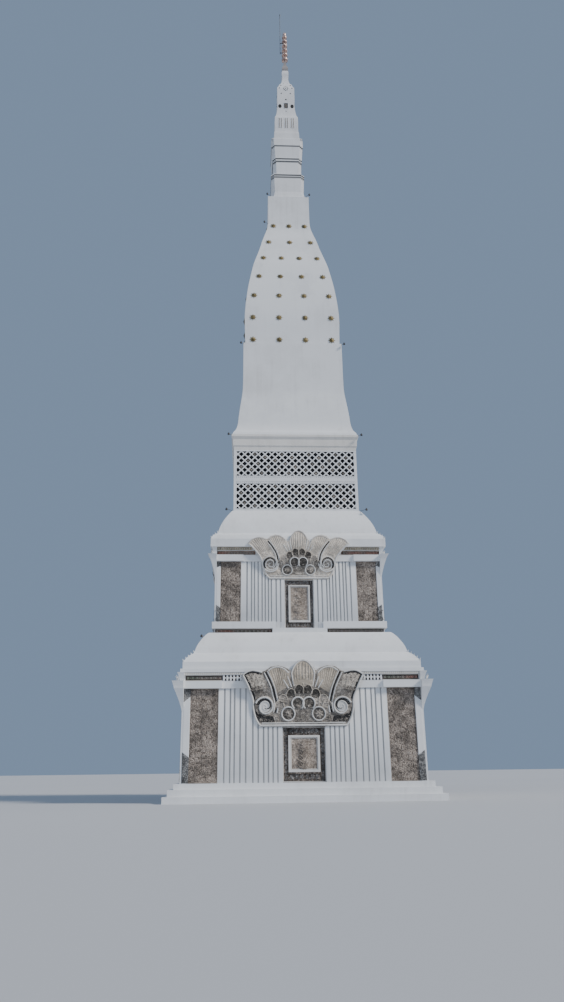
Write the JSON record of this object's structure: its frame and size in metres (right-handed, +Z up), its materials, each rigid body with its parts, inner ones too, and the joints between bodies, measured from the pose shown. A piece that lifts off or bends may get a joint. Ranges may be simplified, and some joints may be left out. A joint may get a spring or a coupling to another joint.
{
  "type": "brick stupa, 1:2 scale model",
  "caption": "Tall square white stupa at half size, with carved storeys, a lattice storey, a bottle-shaped shaft, a spire and a tiered umbrella.",
  "frame": {"origin": "centre of the plinth's foot, on the ground", "axes": "+Z up along the tower's axis, -Y out of the front, +X to the right seen from the front"},
  "size_m": [7.7, 7.7, 34.15],
  "materials": {
    "white_stucco": "white lime plaster, matt, faintly weathered",
    "carved_relief": "carved brick, unpainted, matt, with light dust on its ridges",
    "scroll_stucco": "grey carved plaster with pale edges, matt",
    "gilt_metal": "gilt, satin",
    "rod_steel": "weathered steel, matt"
  },
  "bodies": {
    "root": {"base_plinth": "white_stucco", "lower_storey": "white_stucco", "lower_pier_back_right": "carved_relief", "lower_pier_back_left": "carved_relief", "lower_pier_front_left": "carved_relief", "lower_pier_front_right": "carved_relief", "lower_door_front": "carved_relief", "lower_pediment_front": "scroll_stucco", "lower_door_right": "carved_relief", "lower_pediment_right": "scroll_stucco", "lower_door_back": "carved_relief", "lower_pediment_back": "scroll_stucco", "lower_door_left": "carved_relief", "lower_pediment_left": "scroll_stucco", "lower_cornice": "white_stucco", "lower_roof": "white_stucco", "upper_storey": "white_stucco", "upper_pier_back_right": "carved_relief", "upper_pier_back_left": "carved_relief", "upper_pier_front_left": "carved_relief", "upper_pier_front_right": "carved_relief", "upper_door_front": "carved_relief", "upper_pediment_front": "scroll_stucco", "upper_door_right": "carved_relief", "upper_pediment_right": "scroll_stucco", "upper_door_back": "carved_relief", "upper_pediment_back": "scroll_stucco", "upper_door_left": "carved_relief", "upper_pediment_left": "scroll_stucco", "upper_cornice": "white_stucco", "upper_roof": "white_stucco", "upper_base": "white_stucco", "lattice_storey": "white_stucco", "lattice_screen_front": "white_stucco", "lattice_screen_right": "white_stucco", "lattice_screen_back": "white_stucco", "lattice_screen_left": "white_stucco", "lattice_cornice": "white_stucco", "shaft_foot": "white_stucco", "bottle_shaft": "white_stucco", "neck_block": "white_stucco", "neck_slab": "white_stucco", "spire": "white_stucco", "umbrella": "gilt_metal", "lightning_rod": "rod_steel"}
  },
  "joints": []
}
